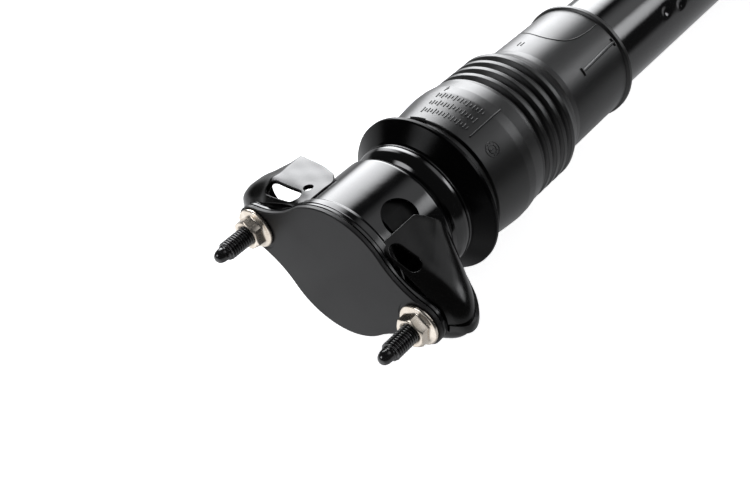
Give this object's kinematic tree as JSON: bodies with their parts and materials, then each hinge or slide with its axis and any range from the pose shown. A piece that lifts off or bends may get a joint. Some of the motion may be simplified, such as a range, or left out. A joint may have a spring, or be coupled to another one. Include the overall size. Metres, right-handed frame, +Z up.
{
  "type": "suspension strut",
  "caption": "Telescopic suspension strut with a studded pressed-steel top mount, ribbed dust boot, twin-tube damper and rubber-bushed lower eye.",
  "frame": {"origin": "centre of the top mount's flat face, on the strut axis", "axes": "+X down the strut axis to the lower eye, +Y along the line through both studs, +Z up as the strut lies on its side"},
  "size_m": [0.511, 0.1436, 0.0888],
  "materials": {
    "satin_black_paint": "satin",
    "gloss_black_paint": "gloss",
    "dish_black_paint": "gloss",
    "tube_black_paint": "gloss",
    "nickel_plating": "satin",
    "black_steel": "satin",
    "bright_steel": "ground",
    "hard_chrome": "polished",
    "rubber": "matte",
    "foam": "matte",
    "boot_plastic": "satin",
    "sintered_steel": "matte",
    "bearing_plastic": "satin"
  },
  "bodies": {
    "mount": {"face_plate": "satin_black_paint", "mount_housing": "gloss_black_paint", "wing_left": "gloss_black_paint", "wing_right": "gloss_black_paint", "stud_left": "black_steel", "stud_right": "black_steel", "flange_nut_left": "nickel_plating", "flange_nut_right": "nickel_plating", "isolator_rubber": "rubber", "isolator_sleeve": "bright_steel", "upper_washer": "bright_steel", "rod_nut": "nickel_plating", "boot_dish": "dish_black_paint", "dust_boot": "boot_plastic", "bump_stop": "foam", "piston_rod": "hard_chrome", "rebound_stop": "rubber", "lift_limit_washer": "bright_steel", "disc_spacer": "bright_steel", "piston": "sintered_steel", "rebound_shims": "bright_steel", "piston_nut": "nickel_plating"},
    "guide_band": {"piston_band": "bearing_plastic"},
    "damper": {"reserve_tube": "tube_black_paint", "rod_seal": "rubber", "rod_guide": "sintered_steel", "guide_bush": "bearing_plastic", "pressure_tube": "bright_steel", "base_valve_body": "sintered_steel", "foot_spacer": "bright_steel", "compression_shims": "bright_steel", "valve_pin": "black_steel", "base_cup": "tube_black_paint", "lower_eye": "tube_black_paint", "lower_bush_rubber": "rubber"},
    "bolt_sleeve": {"lower_bush_sleeve": "nickel_plating"},
    "piston_check": {"check_disc": "bright_steel"},
    "foot_check": {"foot_check_disc": "bright_steel"}
  },
  "joints": [
    {"name": "tube_spin", "type": "hinge", "parent": "mount", "child": "guide_band", "pos_m": [0.25, 0, 0], "axis": [1, 0, 0], "continuous": true},
    {"name": "damper_slide", "type": "slide", "parent": "guide_band", "child": "damper", "axis": [-1, 0, 0], "range_m": [0, 0.12], "deforming": ["bump_stop"]},
    {"name": "bush_twist", "type": "hinge", "parent": "damper", "child": "bolt_sleeve", "pos_m": [0.461, 0, 0], "axis": [0, 1, 0], "range_deg": [-20, 20], "stiffness_Nm_per_rad": 20},
    {"name": "piston_check_lift", "type": "slide", "parent": "mount", "child": "piston_check", "axis": [-1, 0, 0], "range_m": [0, 0.0012], "stiffness_N_per_m": 800},
    {"name": "foot_check_lift", "type": "slide", "parent": "damper", "child": "foot_check", "axis": [-1, 0, 0], "range_m": [0, 0.0012], "stiffness_N_per_m": 800}
  ]
}
